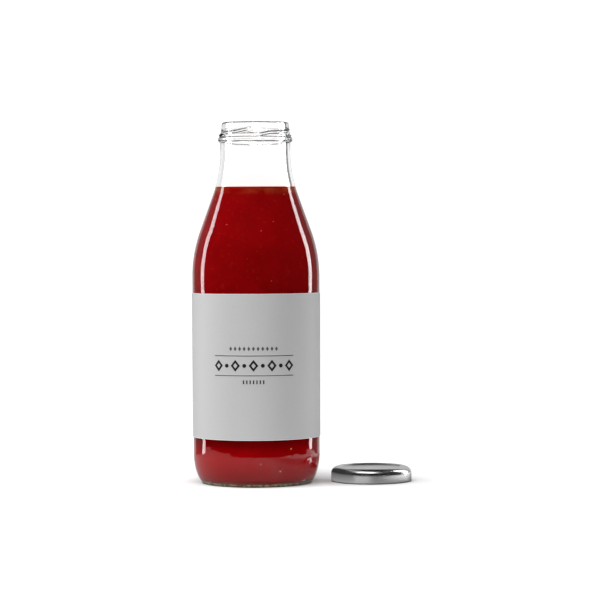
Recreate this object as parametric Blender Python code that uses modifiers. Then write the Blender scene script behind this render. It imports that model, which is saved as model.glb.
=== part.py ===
"""Open glass bottle of passata, with its wrap-round paper label and its twist-off lid beside it.

The bottle is one blown glass shell: a rim and a four-start thread for the lid, a bead below it,
a waisted neck that runs into sloping shoulders, a straight body with a shallow panel for the
label, and a rounded heel on a ring with a push-up inside it. The passata fills it to just above
the shoulders. The lid lies on the surface at the bottle's side, top up. Metres, +Z up; the
origin is on the surface, in the middle of the bottle and the lid together.
"""

import math

import bmesh
import bpy
from mathutils import Matrix, Vector

MM = 0.001
SHARP_ANGLE = math.radians(35)

# Glass bottle
BOTTLE_HEIGHT = 228.7 * MM
BODY_RADIUS = 40.4 * MM
WALL = 2.8 * MM
TURN_STEPS = 48

# Finish, where the lid screws on
RIM_RADIUS = 21.2 * MM
RIM_ROUNDING = 1.2 * MM
RIM_DEPTH = 4.8 * MM
BORE_RADIUS = 19.0 * MM
FINISH_RADIUS = 21.5 * MM
BEAD_RADIUS = 23.7 * MM
BEAD_HEIGHT = 217.4 * MM
BEAD_HALF_HEIGHT = 2.0 * MM
THREAD_COUNT = 4
THREAD_SPAN = math.radians(82)
THREAD_FIRST = math.radians(-86)
THREAD_RIDGE = 1.1 * MM
THREAD_RADIUS = 21.6 * MM
THREAD_SINK = 0.8 * MM
THREAD_POINTS = 10
THREAD_RISES = ((0.0, 219.9 * MM), (0.25, 221.6 * MM), (0.65, 222.2 * MM), (1.0, 224.4 * MM))

# Neck and shoulders
NECK_RADIUS = 22.2 * MM
NECK_HEIGHT = 211.0 * MM
SHOULDER_HEIGHT = 131.0 * MM
NECK_SWEEP = 84.0 * MM
SHOULDER_SWEEP = 85.0 * MM

# Heel and base
HEEL_HEIGHT = 20.0 * MM
HEEL_DEPTH = 7.65 * MM
FOOT_WIDTH = 3.0 * MM
PUSH_UP = 5.0 * MM
BODY_FOOT_RADIUS = 40.05 * MM
INNER_HEEL_HEIGHT = 17.0 * MM
INNER_HEEL_DEPTH = 8.5 * MM
BASE_GLASS = 3.5 * MM
INNER_PUSH_UP = 5.5 * MM

# Round mark that the mould leaves low on the wall
KEY_LUG_RADIUS = 4.2 * MM
KEY_LUG_FACE_RADIUS = 3.4 * MM
KEY_LUG_PROUD = 0.7 * MM
KEY_LUG_SIDES = 16
KEY_LUG_HEIGHT = 13.2 * MM
KEY_LUG_ANGLE = math.radians(-37)

# Passata
FILL_HEIGHT = 187.3 * MM
FILL_CLIMB = 0.6 * MM
GAP = 0.3 * MM

# Paper label
LABEL_BOTTOM = 29.8 * MM
LABEL_TOP = 120.8 * MM
LABEL_RADIUS_BOTTOM = 40.55 * MM
LABEL_RADIUS_TOP = 40.8 * MM
LABEL_THICKNESS = 0.25 * MM
LABEL_PANEL_MARGIN = 0.7 * MM
LABEL_SEAM_STEP = 12

# Twist-off lid
LID_RADIUS = 25.7 * MM
LID_SKIRT_RADIUS = 25.4 * MM
LID_HEIGHT = 9.65 * MM
LID_METAL = 0.5 * MM
LID_SHOULDER = 2.9 * MM
LID_CURL = 1.7 * MM
LID_PANEL_RADIUS = 18.5 * MM
LID_CROWN_RADIUS = 21.0 * MM
LID_PANEL_DEPTH = 0.9 * MM
LID_STEPS = 48
LUG_COUNT = 4
LUG_SIZE = (1.9 * MM, 6.0 * MM, 0.7 * MM)
LID_OFFSET = (73.0 * MM, 7.4 * MM)

# Places of the two axes, so that the pair is centred on the origin
BOTTLE_X = (LABEL_RADIUS_TOP - LID_OFFSET[0] - LID_RADIUS) / 2
BOTTLE_PLACE = Vector((BOTTLE_X, 0, 0))
LID_PLACE = Vector((BOTTLE_X + LID_OFFSET[0], LID_OFFSET[1], 0))


def clear_scene():
    """Remove what a new file starts with."""
    for obj in list(bpy.data.objects):
        bpy.data.objects.remove(obj, do_unlink=True)


def new_collection(name):
    """A collection in the scene."""
    collection = bpy.data.collections.new(name)
    bpy.context.scene.collection.children.link(collection)
    return collection


def plain_material(name, color, roughness, metallic=0.0, transmission=0.0):
    """A Principled material with one colour."""
    material = bpy.data.materials.new(name)
    material.use_nodes = True
    shader = material.node_tree.nodes["Principled BSDF"]
    shader.inputs["Base Color"].default_value = (*color, 1.0)
    shader.inputs["Roughness"].default_value = roughness
    shader.inputs["Metallic"].default_value = metallic
    shader.inputs["Transmission Weight"].default_value = transmission
    return material


def ellipse_arc(centre, radii, start, end, count):
    """count + 1 points on an ellipse in the (radius, height) plane; angles in degrees from +radius."""
    points = []
    for i in range(count + 1):
        angle = math.radians(start + (end - start) * i / count)
        points.append(
            (centre[0] + radii[0] * math.cos(angle), centre[1] + radii[1] * math.sin(angle))
        )
    return points


def shoulder_curve(inset, neck_count=5, shoulder_count=6):
    """The S from the neck down to the body, moved inset into the wall.

    Two arcs, one hollow below the neck and one full at the shoulder, share a sloping tangent. The
    slope is the one that closes the S over its own height and width.
    """
    height = NECK_HEIGHT - SHOULDER_HEIGHT
    width = BODY_RADIUS - NECK_RADIUS
    sweeps = NECK_SWEEP + SHOULDER_SWEEP
    reach = math.hypot(sweeps - width, height)
    slope = math.degrees(math.atan2(height, sweeps - width) - math.acos(sweeps / reach))
    hollow = NECK_SWEEP + inset
    full = SHOULDER_SWEEP - inset
    neck = ellipse_arc(
        (NECK_RADIUS + NECK_SWEEP, NECK_HEIGHT), (hollow, hollow), 180, 180 + slope, neck_count
    )
    shoulder = ellipse_arc(
        (BODY_RADIUS - SHOULDER_SWEEP, SHOULDER_HEIGHT), (full, full), slope, 0, shoulder_count
    )
    return neck + shoulder


def dome(radius, low, rise, count):
    """Points of a push-up from its edge in to the axis, level at both ends."""
    points = []
    for i in range(1, count + 1):
        part = 1 - i / count
        points.append((radius * part, low + rise * (1 + math.cos(math.pi * part)) / 2))
    return points


def inner_curve(inset):
    """The inside of the bottle from the foot of the neck down to the axis, moved inset further in."""
    depth = INNER_HEEL_DEPTH - inset
    height = INNER_HEEL_HEIGHT - inset
    wall = BODY_RADIUS - WALL
    heel_centre = (wall - INNER_HEEL_DEPTH, BASE_GLASS + INNER_HEEL_HEIGHT)
    heel = ellipse_arc(heel_centre, (depth, height), 0, -90, 5)
    base = dome(heel_centre[0], BASE_GLASS + inset, INNER_PUSH_UP, 4)
    return shoulder_curve(WALL + inset) + heel + base


def rim_curve():
    """The rounded lip from the bore over the top to the outside."""
    middle = ((BORE_RADIUS + RIM_RADIUS) / 2, BOTTLE_HEIGHT - RIM_ROUNDING)
    return ellipse_arc(middle, ((RIM_RADIUS - BORE_RADIUS) / 2, RIM_ROUNDING), 180, 0, 6)


def outer_curve():
    """The outside of the bottle from below the lip down to the axis under the push-up."""
    finish = [(FINISH_RADIUS, BOTTLE_HEIGHT - RIM_DEPTH)]
    bead_depth = BEAD_RADIUS - NECK_RADIUS
    bead = ellipse_arc((NECK_RADIUS, BEAD_HEIGHT), (bead_depth, BEAD_HALF_HEIGHT), 80, -85, 6)
    panel = [
        (BODY_RADIUS, LABEL_TOP + LABEL_PANEL_MARGIN),
        (LABEL_RADIUS_TOP - LABEL_THICKNESS - GAP, LABEL_TOP + LABEL_PANEL_MARGIN / 2),
        (LABEL_RADIUS_BOTTOM - LABEL_THICKNESS - GAP, LABEL_BOTTOM - LABEL_PANEL_MARGIN / 2),
        (BODY_FOOT_RADIUS, LABEL_BOTTOM - LABEL_PANEL_MARGIN),
    ]
    foot_radius = BODY_FOOT_RADIUS - HEEL_DEPTH
    heel = ellipse_arc((foot_radius, HEEL_HEIGHT), (HEEL_DEPTH, HEEL_HEIGHT), 0, -90, 7)
    foot_inside = foot_radius - FOOT_WIDTH
    push_up = dome(foot_inside, 0, PUSH_UP, 4)
    return finish + bead + shoulder_curve(0) + panel + heel + [(foot_inside, 0)] + push_up


def turned(name, points, steps, collection):
    """A profile of (radius, height) points, turned about the upright axis by a Screw modifier."""
    mesh = bpy.data.meshes.new(name)
    mesh.from_pydata(
        [(radius, 0, height) for radius, height in points],
        [(i, i + 1) for i in range(len(points) - 1)],
        [],
    )
    obj = bpy.data.objects.new(name, mesh)
    collection.objects.link(obj)
    screw = obj.modifiers.new("turn", "SCREW")
    screw.angle = math.tau
    screw.steps = steps
    screw.render_steps = steps
    screw.use_merge_vertices = True
    screw.merge_threshold = 0.01 * MM
    return obj


def apply_modifiers(obj):
    """Give the object the mesh that its modifiers make."""
    bpy.context.view_layer.update()
    evaluated = obj.evaluated_get(bpy.context.evaluated_depsgraph_get())
    mesh = bpy.data.meshes.new_from_object(evaluated)
    obj.modifiers.clear()
    obj.data = mesh


def union(obj, pieces):
    """Fuse every object of the collection pieces to obj, then remove them."""
    apply_modifiers(obj)
    boolean = obj.modifiers.new("fuse", "BOOLEAN")
    boolean.operation = "UNION"
    boolean.operand_type = "COLLECTION"
    boolean.collection = pieces
    boolean.solver = "EXACT"
    apply_modifiers(obj)
    for piece in list(pieces.objects):
        bpy.data.objects.remove(piece, do_unlink=True)
    bpy.data.collections.remove(pieces)


def finish_shape(obj, material, place):
    """Shade smooth but for sharp edges, add the material and put the object in its place."""
    obj.data.shade_smooth()
    obj.data.set_sharp_from_angle(angle=SHARP_ANGLE)
    obj.data.materials.clear()
    obj.data.materials.append(material)
    obj.location = place


def thread_height(part):
    """Height of a thread's middle at part of its length: a steep start, a level stretch, a rise."""
    for (low, start), (high, end) in zip(THREAD_RISES, THREAD_RISES[1:]):
        if part <= high:
            return start + (end - start) * (part - low) / (high - low)
    return THREAD_RISES[-1][1]


def add_thread(index, collection):
    """One raised thread on the finish: a round ridge that sinks into the glass at both ends."""
    curve = bpy.data.curves.new("thread", "CURVE")
    curve.dimensions = "3D"
    curve.bevel_depth = THREAD_RIDGE
    curve.bevel_resolution = 2
    curve.use_fill_caps = True
    spline = curve.splines.new("POLY")
    spline.points.add(THREAD_POINTS - 1)
    for i in range(THREAD_POINTS):
        part = i / (THREAD_POINTS - 1)
        angle = THREAD_FIRST - math.pi / 2 + index * math.tau / THREAD_COUNT + THREAD_SPAN * part
        at_end = i in (0, THREAD_POINTS - 1)
        radius = THREAD_RADIUS - THREAD_SINK if at_end else THREAD_RADIUS
        height = thread_height(part)
        spline.points[i].co = (radius * math.cos(angle), radius * math.sin(angle), height, 1)
    tube = bpy.data.objects.new("thread_tube", curve)
    collection.objects.link(tube)
    bpy.context.view_layer.update()
    evaluated = tube.evaluated_get(bpy.context.evaluated_depsgraph_get())
    mesh = bpy.data.meshes.new_from_object(evaluated)
    bpy.data.objects.remove(tube, do_unlink=True)
    shape = bmesh.new()
    shape.from_mesh(mesh)
    bmesh.ops.remove_doubles(shape, verts=shape.verts, dist=0.001 * MM)
    bmesh.ops.recalc_face_normals(shape, faces=shape.faces)
    shape.to_mesh(mesh)
    shape.free()
    collection.objects.link(bpy.data.objects.new(f"thread_{index}", mesh))


def add_key_lug(collection):
    """The round mark low on the wall: a short plug through the outer face, level with the heel."""
    mesh = bpy.data.meshes.new("key_lug")
    shape = bmesh.new()
    depth = KEY_LUG_PROUD + WALL / 2
    rise = (HEEL_HEIGHT - KEY_LUG_HEIGHT) / HEEL_HEIGHT
    wall_radius = BODY_FOOT_RADIUS - HEEL_DEPTH * (1 - math.sqrt(1 - rise * rise))
    bmesh.ops.create_cone(
        shape,
        cap_ends=True,
        segments=KEY_LUG_SIDES,
        radius1=KEY_LUG_RADIUS,
        radius2=KEY_LUG_FACE_RADIUS,
        depth=depth,
    )
    outward = Matrix.Rotation(math.pi / 2, 4, "Y")
    shift = Matrix.Translation((wall_radius + KEY_LUG_PROUD - depth / 2, 0, KEY_LUG_HEIGHT))
    turn = Matrix.Rotation(KEY_LUG_ANGLE, 4, "Z")
    bmesh.ops.transform(shape, matrix=turn @ shift @ outward, verts=shape.verts)
    shape.to_mesh(mesh)
    shape.free()
    collection.objects.link(bpy.data.objects.new("key_lug", mesh))


def make_bottle(collection):
    """The glass: inside and outside turned in one profile, with the threads and the mark fused on."""
    inside = list(reversed(inner_curve(0)))
    profile = inside + [(BORE_RADIUS, BEAD_HEIGHT)] + rim_curve() + outer_curve()
    bottle = turned("bottle", profile, TURN_STEPS, collection)
    relief = new_collection("relief")
    for index in range(THREAD_COUNT):
        add_thread(index, relief)
    add_key_lug(relief)
    union(bottle, relief)
    glass = plain_material("clear_glass", (0.93, 0.97, 0.94), 0.03, transmission=1.0)
    finish_shape(bottle, glass, BOTTLE_PLACE)


def make_passata(collection):
    """The filling: the inside of the bottle up to the fill level, which climbs a little at the wall."""
    inside = inner_curve(GAP)
    edge_height = FILL_HEIGHT + FILL_CLIMB
    below = [point for point in inside if point[1] < FILL_HEIGHT]
    above = [point for point in inside if point[1] >= FILL_HEIGHT][-1]
    part = (edge_height - below[0][1]) / (above[1] - below[0][1])
    edge_radius = below[0][0] + (above[0] - below[0][0]) * part
    top = [(0, FILL_HEIGHT), (edge_radius - 2 * FILL_CLIMB, FILL_HEIGHT), (edge_radius, edge_height)]
    passata = turned("passata", top + below, TURN_STEPS, collection)
    sauce = plain_material("tomato", (0.23, 0.004, 0.004), 0.35)
    finish_shape(passata, sauce, BOTTLE_PLACE)


def make_label(collection):
    """The paper: a slightly tapered sleeve, open by one step at the back where its ends stop short."""
    mesh = bpy.data.meshes.new("label")
    shape = bmesh.new()
    bmesh.ops.create_cone(
        shape,
        cap_ends=False,
        segments=TURN_STEPS,
        radius1=LABEL_RADIUS_BOTTOM - LABEL_THICKNESS,
        radius2=LABEL_RADIUS_TOP - LABEL_THICKNESS,
        depth=LABEL_TOP - LABEL_BOTTOM,
    )
    seam = math.tau * (LABEL_SEAM_STEP + 0.5) / TURN_STEPS
    at_seam = Vector((math.cos(seam), math.sin(seam), 0))
    step = math.pi / TURN_STEPS
    open_faces = [
        face for face in shape.faces if face.calc_center_median().angle(at_seam) < step / 2
    ]
    bmesh.ops.delete(shape, geom=open_faces, context="FACES")
    bmesh.ops.recalc_face_normals(shape, faces=shape.faces)
    shape.to_mesh(mesh)
    shape.free()
    label = bpy.data.objects.new("label", mesh)
    collection.objects.link(label)
    paper = label.modifiers.new("paper", "SOLIDIFY")
    paper.thickness = LABEL_THICKNESS
    paper.offset = 1.0
    label_middle = (LABEL_BOTTOM + LABEL_TOP) / 2
    label_paper = plain_material("label_paper", (0.47, 0.45, 0.46), 0.6)
    finish_shape(label, label_paper, BOTTLE_PLACE + Vector((0, 0, label_middle)))


def lid_curve():
    """The lid's metal: over the top from the axis, down the skirt, round the curl and back inside."""
    floor_height = LID_HEIGHT - LID_PANEL_DEPTH
    outside = [(0, floor_height), (LID_PANEL_RADIUS, floor_height)]
    outside.append((LID_CROWN_RADIUS, LID_HEIGHT))
    corner = (LID_SKIRT_RADIUS - LID_SHOULDER, LID_HEIGHT - LID_SHOULDER)
    outside += ellipse_arc(corner, (LID_SHOULDER, LID_SHOULDER), 90, 0, 5)
    curl_depth = LID_RADIUS - LID_SKIRT_RADIUS + LID_METAL
    curl_centre = (LID_RADIUS - curl_depth, LID_CURL / 2)
    outside += ellipse_arc(curl_centre, (curl_depth, LID_CURL / 2), 60, -90, 5)
    inner_corner = LID_SHOULDER - LID_METAL
    inside = [(curl_centre[0] - curl_depth, 0), (curl_centre[0] - curl_depth, LID_CURL)]
    inside.append((LID_SKIRT_RADIUS - LID_METAL, LID_CURL + LID_METAL))
    inside += ellipse_arc(corner, (inner_corner, inner_corner), 0, 90, 4)
    inside.append((LID_CROWN_RADIUS, LID_HEIGHT - LID_METAL))
    inside.append((LID_PANEL_RADIUS, floor_height - LID_METAL))
    inside.append((0, floor_height - LID_METAL))
    return outside + inside


def make_lid(collection):
    """The lid: a pressed shell with a sunk middle, a curled edge and a lug for each thread."""
    lid = turned("lid", lid_curve(), LID_STEPS, collection)
    lugs = new_collection("lugs")
    for index in range(LUG_COUNT):
        mesh = bpy.data.meshes.new("lug")
        shape = bmesh.new()
        bmesh.ops.create_cube(shape, size=1.0)
        size = Matrix.Diagonal((*LUG_SIZE, 1))
        reach = LID_SKIRT_RADIUS - LID_METAL - LUG_SIZE[0] / 2
        shift = Matrix.Translation((reach, 0, LID_CURL / 2 + LUG_SIZE[2] / 4))
        turn = Matrix.Rotation(math.tau * (index + 0.5) / LUG_COUNT, 4, "Z")
        bmesh.ops.transform(shape, matrix=turn @ shift @ size, verts=shape.verts)
        shape.to_mesh(mesh)
        shape.free()
        lugs.objects.link(bpy.data.objects.new(f"lug_{index}", mesh))
    union(lid, lugs)
    steel = plain_material("tinplate", (0.62, 0.62, 0.63), 0.25, metallic=1.0)
    finish_shape(lid, steel, LID_PLACE)


clear_scene()
parts = new_collection("passata_bottle")
make_bottle(parts)
make_passata(parts)
make_label(parts)
make_lid(parts)
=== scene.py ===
"""Looks of an open bottle of passata with its paper label, its lid beside it on a white surface."""

import math
import random

import bpy
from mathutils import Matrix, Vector, noise


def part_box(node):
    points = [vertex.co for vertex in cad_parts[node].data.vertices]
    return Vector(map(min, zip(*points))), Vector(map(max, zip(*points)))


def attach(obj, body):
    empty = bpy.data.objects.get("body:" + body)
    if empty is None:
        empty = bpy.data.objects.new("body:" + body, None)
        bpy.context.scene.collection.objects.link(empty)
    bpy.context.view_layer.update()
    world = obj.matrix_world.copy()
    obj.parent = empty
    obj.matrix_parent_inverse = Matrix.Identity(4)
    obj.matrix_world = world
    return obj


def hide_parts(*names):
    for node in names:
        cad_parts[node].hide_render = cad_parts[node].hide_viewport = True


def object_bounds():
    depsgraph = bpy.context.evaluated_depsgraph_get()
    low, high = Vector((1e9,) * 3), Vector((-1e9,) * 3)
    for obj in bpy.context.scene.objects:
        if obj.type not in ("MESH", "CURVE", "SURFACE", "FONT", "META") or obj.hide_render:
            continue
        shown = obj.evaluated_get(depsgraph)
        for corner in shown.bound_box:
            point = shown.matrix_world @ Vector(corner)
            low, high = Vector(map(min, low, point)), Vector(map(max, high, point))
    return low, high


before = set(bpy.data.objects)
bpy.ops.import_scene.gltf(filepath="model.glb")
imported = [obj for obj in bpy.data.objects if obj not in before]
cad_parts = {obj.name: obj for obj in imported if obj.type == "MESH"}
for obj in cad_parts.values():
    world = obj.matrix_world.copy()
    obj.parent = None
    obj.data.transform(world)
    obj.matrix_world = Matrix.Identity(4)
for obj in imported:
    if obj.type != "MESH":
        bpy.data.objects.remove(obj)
cad_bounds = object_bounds()

# Camera
# A long lens a step and a half away, two thirds of the bottle's height up and looking slightly
# down, as in the photograph. It is turned by a quarter of a degree about its own axis.

MM = 0.001
bottle_low, bottle_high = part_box("bottle")
AXIS = Vector(((bottle_low.x + bottle_high.x) / 2, (bottle_low.y + bottle_high.y) / 2, 0))
CAMERA_DISTANCE = 1556 * MM
CAMERA_HEIGHT = 154.4 * MM
CAMERA_ASIDE = 28.1 * MM
CAMERA_DOWN = math.radians(1.415)
CAMERA_ROLL = math.radians(0.26)
CAMERA_LENS = 147
CAMERA_SENSOR = 36
bpy.ops.object.select_all(action="DESELECT")
bpy.ops.object.camera_add(
    location=(AXIS.x + CAMERA_ASIDE, -CAMERA_DISTANCE, CAMERA_HEIGHT),
    rotation=(math.pi / 2 - CAMERA_DOWN, CAMERA_ROLL, 0),
)
camera = bpy.context.object
camera.name = "camera"
camera.data.lens = CAMERA_LENS
camera.data.sensor_width = CAMERA_SENSOR
camera.data.clip_start = 50 * MM
bpy.context.scene.camera = camera
bpy.context.scene.view_settings.view_transform = "Standard"
bpy.context.scene.view_settings.look = "None"

# Studio
# A round white table and a backdrop, each with tones of its own for gloss and for bounced light,
# two tall strip lights a little behind the sides, and a soft key high up on the left. For the
# camera the table is darker close to the bottle and the lid, a painted shadow, and in gloss its
# tone changes across the lid, a painted reflection on the lid's skirt.

BODY_RADIUS = (bottle_high.x - bottle_low.x) / 2
lid_low, lid_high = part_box("lid")
LID_AXIS = Vector(((lid_low.x + lid_high.x) / 2, (lid_low.y + lid_high.y) / 2, 0))
LID_RADIUS = (lid_high.x - lid_low.x) / 2
TABLE_RADIUS = 0.2
TABLE_ASIDE = 1.45
# Tone the camera sees on the table: lower near the pieces, a painted shadow, higher further off.
TABLE_SEEN_IN_PAINTED_SHADOW = 0.475
TABLE_SEEN_FAR = 0.58
PAINTED_SHADOW_REACH = (3 * MM, 24 * MM)
BOTTLE_STANCE = BODY_RADIUS - 7 * MM
TABLE_REACH = 80 * MM
# The table's tone in gloss, along it across the lid: a painted reflection that gives the lid's skirt
# its light and dark bands.
TABLE_MIRRORED_PAINTED = (
    (0.0, 0.27), (0.23, 0.36), (0.42, 0.3), (0.52, 0.155), (0.72, 0.14), (0.84, 0.24), (0.95, 0.55),
)
TABLE_BOUNCE = 0.36


def new_material(name):
    """A material empty but for its output; nodes and links are those of its tree from here on."""
    global nodes, links
    material = bpy.data.materials.new(name)
    material.use_nodes = True
    nodes, links = material.node_tree.nodes, material.node_tree.links
    nodes.clear()
    nodes.new("ShaderNodeOutputMaterial")
    return material


def end_material(shader):
    """Links a shader to the output of the material being built."""
    links.new(shader.outputs[0], nodes["Material Output"].inputs["Surface"])


def feed(socket, value):
    """Links a socket to an input, or sets a number or colour on it."""
    if isinstance(value, bpy.types.NodeSocket):
        links.new(value, socket)
    else:
        socket.default_value = value


def math_node(operation, first, second=None):
    """A Math node in the tree being built, with sockets or numbers on its inputs."""
    node = nodes.new("ShaderNodeMath")
    node.operation = operation
    feed(node.inputs[0], first)
    if second is not None:
        feed(node.inputs[1], second)
    return node.outputs[0]


def mapped(value, low, high, start=0.0, end=1.0):
    """A value that runs from start to end where the one given runs from low to high."""
    node = nodes.new("ShaderNodeMapRange")
    names = ("Value", "From Min", "From Max", "To Min", "To Max")
    for name, given in zip(names, (value, low, high, start, end)):
        feed(node.inputs[name], given)
    return node.outputs["Result"]


def mixed(factor, first, second, kind="RGBA"):
    """A colour, or a FLOAT, that goes from first to second as the factor goes from 0 to 1."""
    node = nodes.new("ShaderNodeMix")
    node.data_type = kind
    for name, given in (("Factor", factor), ("A", first), ("B", second)):
        feed(node.inputs[name], given)
    return node.outputs["Result"]


def object_place():
    """A point's place on its own piece, whole and parted into X, Y and Z."""
    place = nodes.new("ShaderNodeTexCoord").outputs["Object"]
    split = nodes.new("ShaderNodeSeparateXYZ")
    links.new(place, split.inputs[0])
    return place, split.outputs


bpy.ops.mesh.primitive_circle_add(
    vertices=128, radius=TABLE_RADIUS, fill_type="NGON", location=(AXIS.x, AXIS.y, 0)
)
table = bpy.context.object
table.name = "table"
bpy.ops.transform.resize(value=(TABLE_ASIDE, 1, 1), center_override=AXIS)
bpy.ops.object.transform_apply(location=True, rotation=True, scale=True)
table_finish = new_material("table_white")
place, parts = object_place()
# Painted reflection: the table's gloss tone changes along X across the lid.
painted_mirrored_tone = nodes.new("ShaderNodeValToRGB")
for stop, (at, grey) in enumerate(TABLE_MIRRORED_PAINTED):
    if stop > 1:
        painted_mirrored_tone.color_ramp.elements.new(at)
    painted_mirrored_tone.color_ramp.elements[stop].position = at
    painted_mirrored_tone.color_ramp.elements[stop].color = (grey, grey, grey, 1)
across = mapped(parts["X"], LID_AXIS.x - TABLE_REACH, LID_AXIS.x + TABLE_REACH)
links.new(across, painted_mirrored_tone.inputs[0])
# Distance from the bottle's stance and the lid's edge, which sets the table's painted shadow.
gaps = []
for middle, reach in ((AXIS, BOTTLE_STANCE), (LID_AXIS, LID_RADIUS)):
    away = nodes.new("ShaderNodeVectorMath")
    away.operation = "DISTANCE"
    away.inputs[1].default_value = middle
    links.new(place, away.inputs[0])
    gaps.append(math_node("SUBTRACT", away.outputs["Value"], reach))
near = math_node("MINIMUM", gaps[0], gaps[1])
camera_tone_with_painted_shadow = mapped(near, PAINTED_SHADOW_REACH[0], PAINTED_SHADOW_REACH[1], TABLE_SEEN_IN_PAINTED_SHADOW, TABLE_SEEN_FAR)
seen = nodes.new("ShaderNodeLightPath").outputs
tone = mixed(seen["Is Glossy Ray"], TABLE_BOUNCE, painted_mirrored_tone.outputs["Color"], "FLOAT")
tone = mixed(seen["Is Camera Ray"], tone, camera_tone_with_painted_shadow, "FLOAT")
diffuse = nodes.new("ShaderNodeBsdfDiffuse")
links.new(tone, diffuse.inputs["Color"])
end_material(diffuse)
table.data.materials.append(table_finish)

BACKDROP_HALF = math.radians(28)
BACKDROP_TOP = math.radians(40)
BACKDROP_EDGE = math.radians(6)
BACKDROP_WHITE = 1.15
BACKDROP_MIRRORED = 0.65
FLANK_END = math.radians(64)
FLANK_MIRRORED = 0.14
WEDGE_END = math.radians(58)
WEDGE_DARK_LEFT = 0.25
WEDGE_DARK_RIGHT = 0.8
THROUGH_LOW = math.radians(-15)
THROUGH_TOP = math.radians(18)
THROUGH_DIM = 0.12
ROOM_LIGHT = 0.12
ROOM_TOP = 0.8
NO_LIMIT = -2
world = bpy.data.worlds.new("studio")
bpy.context.scene.world = world
world.use_nodes = True
nodes = world.node_tree.nodes
links = world.node_tree.links
nodes.clear()


def band(value, low, high, edge):
    """1 where value lies between low and high, falling to 0 over edge outside them."""
    rise = mapped(value, low - edge, low)
    return math_node("MULTIPLY", rise, mapped(value, high, high + edge, 1, 0))


way = nodes.new("ShaderNodeTexCoord")
split = nodes.new("ShaderNodeSeparateXYZ")
links.new(way.outputs["Generated"], split.inputs[0])
turn = math_node("ARCTAN2", split.outputs["X"], split.outputs["Y"])
side = math_node("ABSOLUTE", turn)
height = math_node("ARCSINE", split.outputs["Z"])
flank_start = BACKDROP_HALF + BACKDROP_EDGE
middle_lit = band(side, NO_LIMIT, BACKDROP_HALF, BACKDROP_EDGE)
flank_lit = band(side, flank_start, FLANK_END, BACKDROP_EDGE)
gloss_light = math_node(
    "MULTIPLY",
    band(height, NO_LIMIT, BACKDROP_TOP, BACKDROP_EDGE),
    math_node(
        "ADD",
        math_node("MULTIPLY", middle_lit, BACKDROP_MIRRORED),
        math_node("MULTIPLY", flank_lit, FLANK_MIRRORED),
    ),
)
wedge = math_node(
    "ADD",
    math_node("MULTIPLY", band(turn, -WEDGE_END, -flank_start, BACKDROP_EDGE), WEDGE_DARK_LEFT),
    math_node("MULTIPLY", band(turn, flank_start, WEDGE_END, BACKDROP_EDGE), WEDGE_DARK_RIGHT),
)
level_light = mapped(
    band(height, THROUGH_LOW, THROUGH_TOP, BACKDROP_EDGE), 0, 1, THROUGH_DIM, 1
)
through_light = math_node(
    "MULTIPLY",
    math_node("MULTIPLY", math_node("SUBTRACT", 1.0, wedge), level_light),
    BACKDROP_WHITE,
)
upward = math_node("MAXIMUM", split.outputs["Z"], 0.0)
overhead = math_node("MULTIPLY", math_node("MULTIPLY", upward, upward), ROOM_TOP)
room = math_node("ADD", overhead, ROOM_LIGHT)
seen = nodes.new("ShaderNodeLightPath").outputs
light = mixed(seen["Is Diffuse Ray"], BACKDROP_WHITE, room, "FLOAT")
light = mixed(seen["Is Glossy Ray"], light, gloss_light, "FLOAT")
light = mixed(seen["Is Transmission Ray"], light, through_light, "FLOAT")
sky = nodes.new("ShaderNodeBackground")
sky.inputs["Color"].default_value = (1, 1, 1, 1)
links.new(light, sky.inputs["Strength"])
output = nodes.new("ShaderNodeOutputWorld")
links.new(sky.outputs[0], output.inputs["Surface"])

LIGHT_AIM = 0.12
STRIP_UP = 14
STRIP_DISTANCE = 1.0
STRIP_SIZE = (0.19, 1.15)
KEY_DISTANCE = 1.2
KEY_SIZE = (1.3, 0.62)


def add_light(name, side_degrees, height_degrees, distance, size, power):
    """An area light that faces the bottle; its side is measured from the camera's, left below 0."""
    across = math.radians(side_degrees)
    up = math.radians(height_degrees)
    aim = Vector((AXIS.x, 0, LIGHT_AIM))
    way_out = Vector(
        (math.sin(across) * math.cos(up), -math.cos(across) * math.cos(up), math.sin(up))
    )
    bpy.ops.object.light_add(type="AREA", location=aim + way_out * distance)
    light = bpy.context.object
    light.name = name
    light.rotation_euler = way_out.to_track_quat("Z", "Y").to_euler()
    light.data.shape = "RECTANGLE"
    light.data.size = size[0]
    light.data.size_y = size[1]
    light.data.energy = power
    return light


add_light("strip_left", -110.5, STRIP_UP, STRIP_DISTANCE, STRIP_SIZE, 4.6)
add_light("strip_right", 115.5, STRIP_UP, STRIP_DISTANCE, STRIP_SIZE, 5.3)
key = add_light("key", -32, 64, KEY_DISTANCE, KEY_SIZE, 31.0)
key.visible_glossy = False

# Soft box sheet
# The white cloth of the key's soft box. It shows in gloss alone, in place of the key and about a
# sixth as bright, so that it doesn't burn out on the lid.

KEY_SHEET = 2.0


def gloss_only(thing):
    """Hides a thing of the studio from all but reflections."""
    for seen_by in ("camera", "diffuse", "transmission", "shadow"):
        setattr(thing, "visible_" + seen_by, False)


bpy.ops.object.select_all(action="DESELECT")
bpy.ops.mesh.primitive_plane_add(size=1, location=(0, 0, 0))
sheet = bpy.context.object
sheet.name = "soft_box_sheet"
sheet.scale = (KEY_SIZE[0], KEY_SIZE[1], 1)
sheet.rotation_euler = key.rotation_euler
sheet.location = key.location
bpy.ops.object.transform_apply(location=True, rotation=True, scale=True)
gloss_only(sheet)
cloth = new_material("soft_box_cloth")
lit = nodes.new("ShaderNodeEmission")
lit.inputs["Strength"].default_value = KEY_SHEET
end_material(lit)
sheet.data.materials.append(cloth)

# Black card and painted reflection
# A small dark card, seen in the lid's gloss alone, that puts a painted dark reflection on the
# lid's side in place of the red of the bottle. It is clear from behind, and its foot glows as a
# painted reflection of the table, paler low on the lid.

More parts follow.
